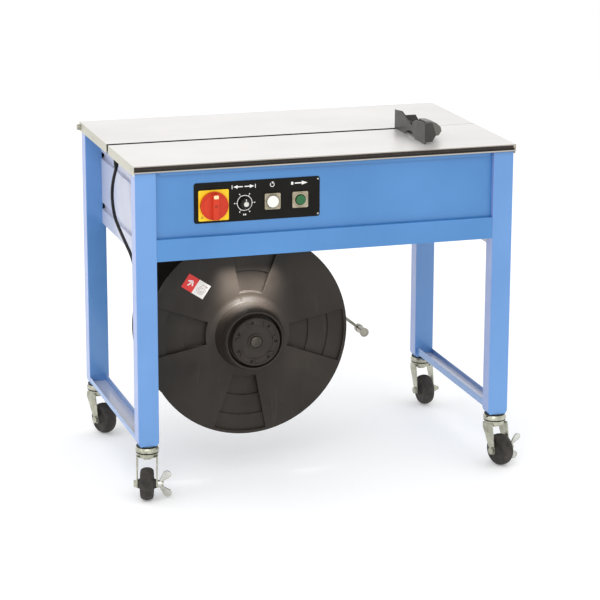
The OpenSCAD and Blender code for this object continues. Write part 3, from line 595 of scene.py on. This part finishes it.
# The lead's route in the table's frame, in metres, from the gland to the hank
LEAD = [
    (-0.425, 0, 0.712), (-0.426, 0.008, 0.700), (-0.428, 0.017, 0.682),
    (-0.430, 0.022, 0.660), (-0.431, 0.021, 0.638), (-0.431, 0.012, 0.615),
    (-0.431, -0.008, 0.595), (-0.430, -0.040, 0.579), (-0.430, -0.080, 0.566),
    (-0.430, -0.120, 0.554), (-0.429, -0.148, 0.543), (-0.428, -0.168, 0.529),
    (-0.428, -0.181, 0.509), (-0.428, -0.185, 0.485), (-0.428, -0.185, 0.455),
    (-0.428, -0.185, 0.420), (-0.428, -0.185, 0.385), (-0.428, -0.185, 0.345),
    (-0.428, -0.185, 0.312),
]
CORD_R = 3.75 * MM
HANK_LOOPS = 3
HANK_PITCH = 8 * MM
HANK_BEND = 23 * MM
TIE_W = 12 * MM
TIE_T = 1 * MM
TIE_HEIGHT = 60 * MM
# How far the tie draws each run of the hank in
TIE_PINCH = 1.6 * MM


def spline(points, steps=6):
    """A smooth line through points (Catmull-Rom)."""
    ends = [points[0] * 2 - points[1], *points, points[-1] * 2 - points[-2]]
    line = []
    for a, b, c, d in zip(ends, ends[1:], ends[2:], ends[3:]):
        for i in range(steps):
            t = i / steps
            line.append(
                (b * 2 + (c - a) * t + (a * 2 - b * 5 + c * 4 - d) * t * t
                 + (b * 3 - a - c * 3 + d) * t * t * t) / 2
            )
    return [*line, points[-1].copy()]


def hank_line(tie_z):
    """The folded spare lead: down behind, round the bottom, up in front and over the top."""
    first = LEAD[-1][0] + TABLE.x
    bottom = low("cord_hank").z + HANK_BEND + CORD_R
    top = high("cord_hank").z - HANK_BEND - CORD_R
    mid_y = middle("cord_hank").y
    plug = low("power_plug")
    entry = Vector((middle("power_plug").x, mid_y, plug.z))
    line = []

    def pinch(z):
        """The tie draws the runs in a little."""
        return HANK_BEND - TIE_PINCH * math.exp(-((z - tie_z) / (14 * MM)) ** 2)

    def run(x, sign, z0, z1, count=14):
        for i in range(count):
            z = z0 + (z1 - z0) * i / count
            line.append(Vector((x, mid_y + sign * pinch(z), z)))

    def bend(x0, x1, z, start, count=14):
        for i in range(count):
            a = math.radians(start - 180 * i / count)
            x = x0 + (x1 - x0) * (1 - math.cos(math.pi * i / count)) / 2
            line.append(Vector((x, mid_y + HANK_BEND * math.cos(a), z + HANK_BEND * math.sin(a))))

    for turn in range(HANK_LOOPS):
        x = first + turn * HANK_PITCH
        run(x, 1, top, bottom)
        bend(x, x, bottom, 0)
        if turn < HANK_LOOPS - 1:
            run(x, -1, bottom, top)
            bend(x, x + HANK_PITCH, top, 180)
    x = first + (HANK_LOOPS - 1) * HANK_PITCH
    rise = entry.z - bottom
    for i in range(25):
        t = i / 24
        ease = t * t * (3 - 2 * t)
        start = Vector((x, mid_y - HANK_BEND, 0))
        point = start.lerp(Vector((entry.x, entry.y, 0)), ease)
        line.append(Vector((point.x, point.y, bottom + rise * t)))
    line.append(entry + Vector((0, 0, 6 * MM)))
    return line


def add_lead():
    """The mains lead with its strain relief, its folded spare length, its tie and its plug."""
    tie_z = low("cord_hank").z + TIE_HEIGHT
    free = spline([Vector(p) + TABLE for p in LEAD])
    hank = hank_line(tie_z)
    line = [p for p in free if p.z > hank[0].z + 2 * MM] + hank
    data = bpy.data.curves.new("mains_lead", "CURVE")
    data.dimensions = "3D"
    data.bevel_depth = CORD_R
    data.bevel_resolution = 4
    run = data.splines.new("POLY")
    run.points.add(len(line) - 1)
    for point, place in zip(run.points, line, strict=True):
        point.co = (*place, 1)
    data.materials.append(FINISHES["cord"])
    lead = bpy.data.objects.new("mains_lead", data)
    bpy.context.scene.collection.objects.link(lead)
    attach(lead, "frame")
    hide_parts("power_cord", "cord_hank")
    on_it = [add_gland(), add_plug(), add_tie(tie_z)]


def add_gland():
    """The gland's nut, and a tapered strain relief with ribs down to the cord."""
    top, tip = high("cable_gland").z, low("cable_gland").z
    x, y = middle("cable_gland").x, middle("cable_gland").y
    shape = Shape()
    nut_r, sleeve_r, rib_depth = 11 * MM, 7.4 * MM, 0.9 * MM
    nut = [(nut_r * math.cos(math.radians(a)), nut_r * math.sin(math.radians(a)))
           for a in range(0, 360, 60)]
    shape.prism(nut, 6.4 * MM, Matrix.Translation((x, y, top - 8.7 * MM)))
    profile = [(0, top - 0.2 * MM), (sleeve_r, top - 0.2 * MM), (sleeve_r, top - 9 * MM)]
    ribs = 7
    z0 = top - 9.5 * MM
    for i in range(ribs):
        share, step = i / ribs, (z0 - tip) / ribs
        z = z0 - i * step
        radius = sleeve_r - 2.7 * MM * share
        profile += [
            (radius, z), (radius, z - 0.6 * step),
            (radius - rib_depth, z - 0.68 * step), (radius - rib_depth, z - 0.95 * step),
        ]
    profile += [(CORD_R + 0.5 * MM, tip), (CORD_R - 0.4 * MM, tip)]
    shape.turned(profile, Matrix.Translation((x, y, 0)), 32)
    return piece("strain_relief", shape.mesh("strain_relief"), "frame", "cord",
                 ["cable_gland"], 0.25 * MM)


def add_plug():
    """A moulded two-pin plug with grip ribs, standing in the window of the hank."""
    lo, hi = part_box("power_plug")
    centre = (lo + hi) / 2
    place = Matrix.Translation((centre.x, centre.y, lo.z))
    radius = (hi.x - lo.x) / 2 - 0.1 * MM
    body = 50 * MM
    profile = [
        (0, 0.5 * MM), (5.6 * MM, 0.3 * MM), (6.2 * MM, 4 * MM), (7.2 * MM, 9 * MM),
        (9 * MM, 14 * MM), (13 * MM, 19 * MM), (radius - 2.4 * MM, 24 * MM),
    ]
    for i in range(4):
        z = (26 + 4 * i) * MM
        profile += [(radius - 0.9 * MM, z), (radius - 0.9 * MM, z + 2.2 * MM),
                    (radius - 1.9 * MM, z + 2.8 * MM), (radius - 1.9 * MM, z + 3.6 * MM)]
    profile += [
        (radius, 43 * MM), (radius, body - 1 * MM), (radius - 1 * MM, body),
        (radius - 4 * MM, body), (radius - 4.4 * MM, body - 3 * MM), (0, body - 3 * MM),
    ]
    shape = Shape().turned(profile, place, 56)
    plug = piece("mains_plug", shape.mesh("mains_plug"), "frame", "cord",
                 ["power_plug"], 0.3 * MM)
    pins = Shape()
    tip = (hi.z - lo.z) - 0.1 * MM
    for side in (-9.5 * MM, 9.5 * MM):
        pin = place @ Matrix.Translation((0, side, 0))
        pins.turned([(0, body - 4 * MM), (2.4 * MM, body - 4 * MM), (2.4 * MM, tip - 1.6 * MM),
                     (1.4 * MM, tip), (0, tip)], pin, 20)
    piece("plug_pins", pins.mesh("plug_pins"), "frame", "bright")
    return plug


def add_tie(tie_z):
    """A hook-and-loop strip round the hank."""
    centre = middle("cord_hank")
    half_x = HANK_PITCH * (HANK_LOOPS - 1) / 2 + CORD_R
    half_y = HANK_BEND - TIE_PINCH + CORD_R
    inner = rounded_outline(2 * half_x, 2 * half_y, CORD_R)
    outer = rounded_outline(2 * (half_x + TIE_T), 2 * (half_y + TIE_T), CORD_R + TIE_T)
    shape = Shape()
    levels = (-TIE_W / 2, TIE_W / 2)
    rings = [
        [shape.bm.verts.new((centre.x + x, centre.y + y, tie_z + z)) for x, y in outline]
        for outline in (inner, outer) for z in levels
    ]
    inside_low, inside_high, outside_low, outside_high = rings
    for a, b in ((inside_low, inside_high), (inside_high, outside_high),
                 (outside_high, outside_low), (outside_low, inside_low)):
        for i in range(len(a)):
            j = (i + 1) % len(a)
            shape.face([a[i], a[j], b[j], b[i]])
    return piece("hank_tie", shape.mesh("hank_tie"), "frame", "cord")


# ---------------------------------------------------------------- stage and light

def add_floor():
    """A plain, nearly white floor whose top lies just below the wheels."""
    width, depth, gap = 9, 0.02, 0.5 * MM
    shape = Shape().prism(rounded_outline(width, width, 0.5), depth,
                          Matrix.Translation((0, 0, -depth - gap)))
    mesh = shape.mesh("floor")
    floor = bpy.data.objects.new("floor", mesh)
    bpy.context.scene.collection.objects.link(floor)
    f = Finish("floor_pale", Specular_IOR_Level=0.1, Emission_Color=(1, 1, 1, 1),
               Emission_Strength=0.18)
    f.colour(f.ramp(f.noise(1.2, 2), (0.3, (245, 245, 245)), (0.7, (249, 249, 249))))
    f.rough(f.between(f.noise(3), 0.75, 0.85))
    mesh.materials.append(f.material)


def area_light(name, place, target, size, power, spread=180):
    """A rectangular light at place that shines on target; spread is in degrees."""
    data = bpy.data.lights.new(name, "AREA")
    data.shape = "RECTANGLE"
    data.size, data.size_y = size
    data.energy = power
    data.spread = math.radians(spread)
    light = bpy.data.objects.new(name, data)
    bpy.context.scene.collection.objects.link(light)
    light.matrix_world = along(Vector(place), Vector(place) - Vector(target))


def add_lights():
    """An even white studio, two soft lights, and a small one over the reel's cone."""
    world = bpy.data.worlds.new("studio")
    bpy.context.scene.world = world
    world.use_nodes = True
    sky = world.node_tree.nodes["Background"]
    sky.inputs["Color"].default_value = (1, 1, 1, 1)
    sky.inputs["Strength"].default_value = 1.0
    goal = (0, 0, 0.4)
    area_light("key", (-1.2, -3.2, 2.8), goal, (2.2, 1.6), 26)
    area_light("side", (-3.4, -0.6, 1.4), goal, (1.6, 2.0), 10)
    hub = joint("reel_spin")[0]
    area_light("hub_light", (hub.x, -0.222, 0.545), (hub.x, -0.165, 0.42), (0.13, 0.02), 0.4, 50)
    view = bpy.context.scene.view_settings
    view.view_transform = "Standard"
    view.look = "None"


# ---------------------------------------------------------------- the machine

def finish_cad():
    """Gives every visible CAD node rounded edges and its finish."""
    sheet = 0.5 * MM
    plans = {
        # The front tone is the blue paint with painted shade.
        "blue_front_painted_shade": (sheet, ["front_rail", "back_rail", "front_panel", "back_panel",
                               "reel_bracket"]),
        # The side panels' pale tone is the blue paint with painted light.
        "blue_panel_painted_light": (sheet, ["left_panel", "right_panel"]),
        "trim": (0.3 * MM, ["front_edge_trim"]),
        "steel": (0.4 * MM, ["base_plate", "head_frame", "gearbox", "camshaft", "press_head",
                             "feed_roller", "pinch_roller"]),
        "dark_steel": (0.3 * MM, ["strap_track", "reel_shaft"]),
        "zinc": (0.4 * MM, ["lid_hinge_pins", "caster_stems"]
                 + [f"{part}_{side}" for part in ("fork", "axle") for side in CORNERS]),
        "bright": (0.4 * MM, ["wing_nut_left", "wing_nut_right"]),
        "rubber": (0.4 * MM, [f"wheel_{side}" for side in CORNERS]),
        "plate": (0.3 * MM, ["control_plate"]),
        "yellow": (0.5 * MM, ["switch_plate"]),
        "red": (0.8 * MM, ["switch_knob"]),
        "knob": (0.4 * MM, ["dial_knob"]),
        "bezel": (0.5 * MM, ["button_bezels"]),
        "white_lens": (0.6 * MM, ["reset_button"]),
        "green_lens": (0.6 * MM, ["feed_button"]),
        "reel": (0.6 * MM, ["rear_flange", "front_flange", "hub_wheel"]),
        "chrome": (0.4 * MM, ["brake_arm", "guide_roller"]),
        "motor": (0.6 * MM, ["drive_motor"]),
    }
    for finish, (width, nodes) in plans.items():
        for node in nodes:
            softened(node, finish, width)
    for side in CORNERS:
        # Faces that look left take the paler leg tone: painted light.
        softened(f"leg_{side}", "blue_leg", 1.2 * MM,
                 ("blue_leg_side_painted_light", lambda c, n: n.x < -FACING))
    for side in ("left", "right"):
        # The tops of the channels take the pale panel tone: painted light.
        softened(f"{side}_cross_channel", "blue_side", sheet,
                 ("blue_panel_painted_light", lambda c, n: n.z > FACING))
    slot_y = low("back_table_lid").y
    # The faces of both tables that look left take the darker rim copy, painted shade.
    rim = ("rim", lambda c, n: n.x < -FACING)
    # The lid's wall that faces into the strap slot takes the near black copy, painted shade.
    softened("back_table_lid", "table", 0.4 * MM, rim,
             ("slot_painted_shade", lambda c, n: n.y < -FACING and c.y < slot_y + 3 * MM))
    softened("front_table_top", "table", 0.4 * MM, rim)
    stop = low("parcel_stop")
    table_top = high("front_table_top").z
    softened("parcel_stop", "stop", 0.7 * MM, (
        "stop_grey", lambda c, n: c.x > stop.x + 18 * MM and c.z > table_top + 8 * MM
        and stop.y + 42 * MM < c.y < stop.y + 86 * MM))
    board_top = low("control_board").z + 14 * MM
    softened("control_board", "board", 0.3 * MM, ("knob", lambda c, n: c.z > board_top))


def add_painted_caster_shade():
    """Dark rings above and below the head of each caster: painted shade in the gaps at its neck.
    """
    leg_foot = low("leg_front_left").z
    bore = 18 * MM
    shape = Shape()
    for side in CORNERS:
        axis = joint(f"swivel_{side}")[0]
        for drop, radius, height in ((3.2, 24.6, 3.1), (17.1, 25.9, 2.8)):
            ring(shape, Matrix.Translation((axis.x, axis.y, leg_foot - drop * MM)), bore,
                 radius * MM, height * MM)
    piece("caster_painted_shade", shape.mesh("caster_painted_shade"), "frame", "knob", bevel=0.3 * MM)


def add_edge_insert():
    """The two dark strips that fill the groove of the front edge."""
    lo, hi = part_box("front_edge_trim")
    upper, lower = Shape(), Shape()
    start, back = lo.x + 1 * MM, lo.y + 0.78 * MM
    block(upper, (start, lo.y + 0.1 * MM, lo.z + 8.6 * MM), (hi.x - 7 * MM, back, hi.z - 2.1 * MM))
    block(lower, (start, lo.y + 0.4 * MM, lo.z + 3.1 * MM), (hi.x - 4 * MM, back, lo.z + 8.4 * MM))
    piece("edge_insert_upper", upper.mesh("edge_insert_upper"), "frame", "insert",
          bevel=0.25 * MM)
    piece("edge_insert_lower", lower.mesh("edge_insert_lower"), "frame", "insert_dark",
          bevel=0.15 * MM)


def add_panel_lip():
    """The folded strip along the top of the front panel."""
    lo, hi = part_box("front_panel")
    shape = Shape()
    end, inset, height = 2 * MM, 14 * MM, 8 * MM
    outline = [(lo.x + inset, hi.z - height), (hi.x - inset, hi.z - height),
               (hi.x - end, hi.z), (lo.x + end, hi.z)]
    shape.prism(outline, 2.2 * MM, on_front(0, lo.y, 0), -0.4 * MM)
    piece("panel_lip", shape.mesh("panel_lip"), "frame", "blue_front_painted_shade",
          bevel=0.9 * MM)


def add_screws():
    """Screw heads on the rims of both table tops and at the control plate's right end."""
    rims, lids, plates = Shape(), Shape(), Shape()
    left, right = low("front_table_top").x, high("front_table_top").x
    rim_y, rim_z = -250, 759
    lid_ys, lid_z = (137, 145), 756
    for x, way in ((left, -1), (right, 1)):
        def on_side(y, z):
            return along((x, TABLE.y + y * MM, z * MM), (way, 0, 0))
        screw(rims, on_side(rim_y, rim_z), 3.6 * MM, 1.4 * MM)
        for y in lid_ys:
            screw(lids, on_side(y, lid_z), 2.6 * MM, 1.2 * MM)
    lo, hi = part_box("control_plate")
    from_end, from_edge = 4.5 * MM, 6 * MM
    for z in (lo.z + from_edge, hi.z - from_edge):
        screw(plates, on_front(hi.x - from_end, lo.y, z), 2.4 * MM, 1.1 * MM)
    piece("rim_screws", rims.mesh("rim_screws"), "frame", "bright", bevel=0.15 * MM)
    piece("lid_screws", lids.mesh("lid_screws"), "table_lid", "bright", bevel=0.15 * MM)
    piece("plate_screws", plates.mesh("plate_screws"), "frame", "bright",
          bevel=0.1 * MM)


def arrow(shape, place, length, width, tail=True, height=PRINT):
    """A flat arrow that points along the placement's X."""
    head = 0.45 * length
    shape.prism([(length / 2, 0), (length / 2 - head, width / 2), (length / 2 - head, -width / 2)],
                height, place)
    if tail:
        shape.prism([(length / 2 - head, -width / 7), (length / 2 - head, width / 7),
                     (-length / 2, width / 7), (-length / 2, -width / 7)], height, place)


def add_controls():
    """Scale, pictograms, caps, rings and markers on the control plate."""
    lo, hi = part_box("control_plate")
    face = lo.y
    dial, reset, feed = middle("dial_knob"), middle("reset_button"), middle("feed_button")
    marks = Shape()
    scale = on_front(dial.x, face, dial.z)
    ring(marks, scale, 16.4 * MM, 17.9 * MM, PRINT)
    for angle in range(0, 360, 60):
        turn = scale @ Matrix.Rotation(math.radians(angle), 4, "Z")
        for inner, outer, half in ((21.6, 24.6, 1), (17.5, 19.6, 0.8)):
            tick = [(inner, -half), (outer, -half), (outer, half), (inner, half)]
            marks.prism([(x * MM, y * MM) for x, y in tick], PRINT, turn)
    for side in (-2.1 * MM, 2.1 * MM):
        marks.prism(rounded_outline(2.6 * MM, 3.6 * MM, 0.6 * MM, 3), PRINT,
                    scale @ Matrix.Translation((side, -26.5 * MM, 0)))
    row = hi.z - 13.5 * MM
    both = on_front(dial.x - 2 * MM, face, row)
    for turn in (0, 180):
        half = both @ Matrix.Rotation(math.radians(turn), 4, "Z")
        arrow(marks, half @ Matrix.Translation((13 * MM, 0, 0)), 22 * MM, 8 * MM)
    for side in (-27 * MM, 27 * MM):
        marks.prism(rounded_outline(1.6 * MM, 9 * MM, 0.5 * MM, 2), PRINT,
                    both @ Matrix.Translation((side, 0, 0)))
    again = on_front(reset.x, face, row + 0.5 * MM)
    ring(marks, again, 3.9 * MM, 5.3 * MM, PRINT, 130, 290, 32)
    tip = again @ Matrix.Translation((4.6 * MM * math.cos(math.radians(62)),
                                      4.6 * MM * math.sin(math.radians(62)), 0))
    arrow(marks, tip @ Matrix.Rotation(math.radians(152), 4, "Z"), 9 * MM, 5.5 * MM, False)
    onward = on_front(feed.x, face, row + 0.5 * MM)
    arrow(marks, onward @ Matrix.Translation((3 * MM, 0, 0)), 30 * MM, 9 * MM)
    marks.prism(rounded_outline(5 * MM, 6.5 * MM, 0.6 * MM, 3), PRINT,
                onward @ Matrix.Translation((-18 * MM, 0, 0)))
    piece("panel_marks", marks.mesh("panel_marks"), "frame", "marks")

    cap = Shape().turned([(6 * MM, -1 * MM), (6 * MM, 0.7 * MM), (5.2 * MM, 1.4 * MM),
                          (0, 1.6 * MM)], on_front(dial.x, low("dial_knob").y, dial.z), 32)
    piece("dial_cap", cap.mesh("dial_cap"), "length_dial", "bright",
          bevel=0.2 * MM)
    pointer = Shape().prism(rounded_outline(1.5 * MM, 5 * MM, 0.5 * MM, 3), 0.5 * MM,
                            on_front(dial.x, low("dial_knob").y + 1 * MM, dial.z + 8.8 * MM))
    piece("dial_pointer", pointer.mesh("dial_pointer"), "length_dial", "marks")

    knob = low("switch_knob").y
    pivot = joint("main_switch_turn")[0]
    marker = Shape().prism(rounded_outline(11 * MM, 8 * MM, 2.2 * MM), 1.0 * MM,
                           on_front(pivot.x, knob + 0.4 * MM, pivot.z + 23 * MM))
    piece("switch_marker", marker.mesh("switch_marker"), "main_switch", "pale",
          bevel=0.3 * MM)
    dot = Shape().turned([(3.2 * MM, -0.5 * MM), (3.2 * MM, 0.3 * MM), (2.4 * MM, 0.3 * MM),
                          (2.2 * MM, -0.3 * MM), (0, -0.3 * MM)],
                         on_front(pivot.x, knob, pivot.z + 2 * MM), 24)
    piece("switch_screw", dot.mesh("switch_screw"), "main_switch", "knob")
    base = low("switch_plate")
    hole = Shape()
    hole.prism(rounded_outline(4.2 * MM, 7 * MM, 2 * MM), 0.2 * MM,
               on_front(base.x + 5 * MM, base.y, pivot.z))
    ring(hole, on_front(base.x + 8 * MM, base.y, base.z + 8.5 * MM), 1.6 * MM, 2.6 * MM,
         0.15 * MM)
    piece("padlock_hole", hole.mesh("padlock_hole"), "frame", "knob")

    rings, dark = Shape(), Shape()
    bezel = low("button_bezels").y
    for centre, lens in ((reset, 13.5 * MM), (feed, 11 * MM)):
        place = on_front(centre.x, bezel, centre.z)
        ring(dark, place, lens + 0.35 * MM, lens + 1.3 * MM, 0.35 * MM)
        outer = 17 * MM
        rings.turned([(lens + 1.3 * MM, 0), (lens + 1.6 * MM, 1.3 * MM),
                      (outer - 0.8 * MM, 1.3 * MM), (outer, 0)], place, 56)
    piece("lens_rings", rings.mesh("lens_rings"), "frame", "bezel",
          bevel=0.25 * MM)
    piece("lens_seals", dark.mesh("lens_seals"), "frame", "knob")


def add_reel_details():
    """Sticker, finger grips and the bolt's washer on the reel."""
    axis = joint("reel_spin")[0]
    centre = at(-288, -190, 467)
    tilt = math.radians(-34)
    place = on_front(*centre) @ Matrix.Rotation(tilt, 4, "Z")
    long, short, thin = 60 * MM, 35.5 * MM, 0.25 * MM
    red, white, ink = Shape(), Shape(), Shape()
    seam = -1 * MM
    for half, start, stop in ((red, -long / 2, seam), (white, seam, long / 2)):
        half.prism([(start, -short / 2), (stop, -short / 2), (stop, short / 2),
                    (start, short / 2)], thin, place)
    sign = place @ Matrix.Translation((-15.5 * MM, 0, thin)) \
        @ Matrix.Rotation(math.radians(68), 4, "Z")
    shaft = [(-8, -1.6), (3, -1.6), (3, 1.6), (-8, 1.6)]
    white.prism([(x * MM, y * MM) for x, y in shaft], 0.12 * MM, sign)
    for way in (-1, 1):
        barb = [(9, 0), (6.6, 3.1 * way), (0.5, 9 * way), (-1.8, 6.9 * way), (4.4, 0.6 * way)]
        white.prism([(x * MM, y * MM) for x, y in barb], 0.12 * MM, sign)
    wound = place @ Matrix.Translation((15 * MM, 0, thin))
    for i, radius in enumerate((4, 7.4, 10.8)):
        ring(ink, wound, (radius - 0.45) * MM, (radius + 0.45) * MM, 0.1 * MM,
             40 + 70 * i, 300, 36)
    arrow(ink, wound @ Matrix.Translation((8 * MM, 11 * MM, 0))
          @ Matrix.Rotation(math.radians(-30), 4, "Z"), 8 * MM, 5 * MM, True, 0.1 * MM)
    piece("sticker_red_half", red.mesh("sticker_red_half"), "reel", "sticker_red")
    piece("sticker_white_half", white.mesh("sticker_white_half"), "reel", "sticker_white")
    piece("sticker_ink", ink.mesh("sticker_ink"), "reel", "ink")

    hub = on_front(axis.x, low("hub_wheel").y, axis.z)
    grips = Shape()
    lugs, first_turn, lug_turn, lug_r = 7, 0.22, math.radians(38), 44 * MM
    for i in range(lugs):
        spoke = hub @ Matrix.Rotation(2 * math.pi * i / lugs + first_turn, 4, "Z")
        lug = spoke @ Matrix.Translation((lug_r, 0, 0)) @ Matrix.Rotation(lug_turn, 4, "Z")
        grips.prism(rounded_outline(13 * MM, 4.2 * MM, 2 * MM, 5), 3.4 * MM, lug, -0.5 * MM)
    ring(grips, hub, 51.5 * MM, 54.5 * MM, 1.6 * MM, steps=72)
    ring(grips, hub, 15 * MM, 19 * MM, 0.8 * MM)
    piece("hub_grips", grips.mesh("hub_grips"), "reel_lock", "reel",
          bevel=0.7 * MM)


FINISHES = make_finishes()
place_camera()
add_lead()
finish_cad()
add_painted_caster_shade()
add_edge_insert()
add_panel_lip()
add_screws()
add_controls()
add_reel_details()
add_floor()
add_lights()
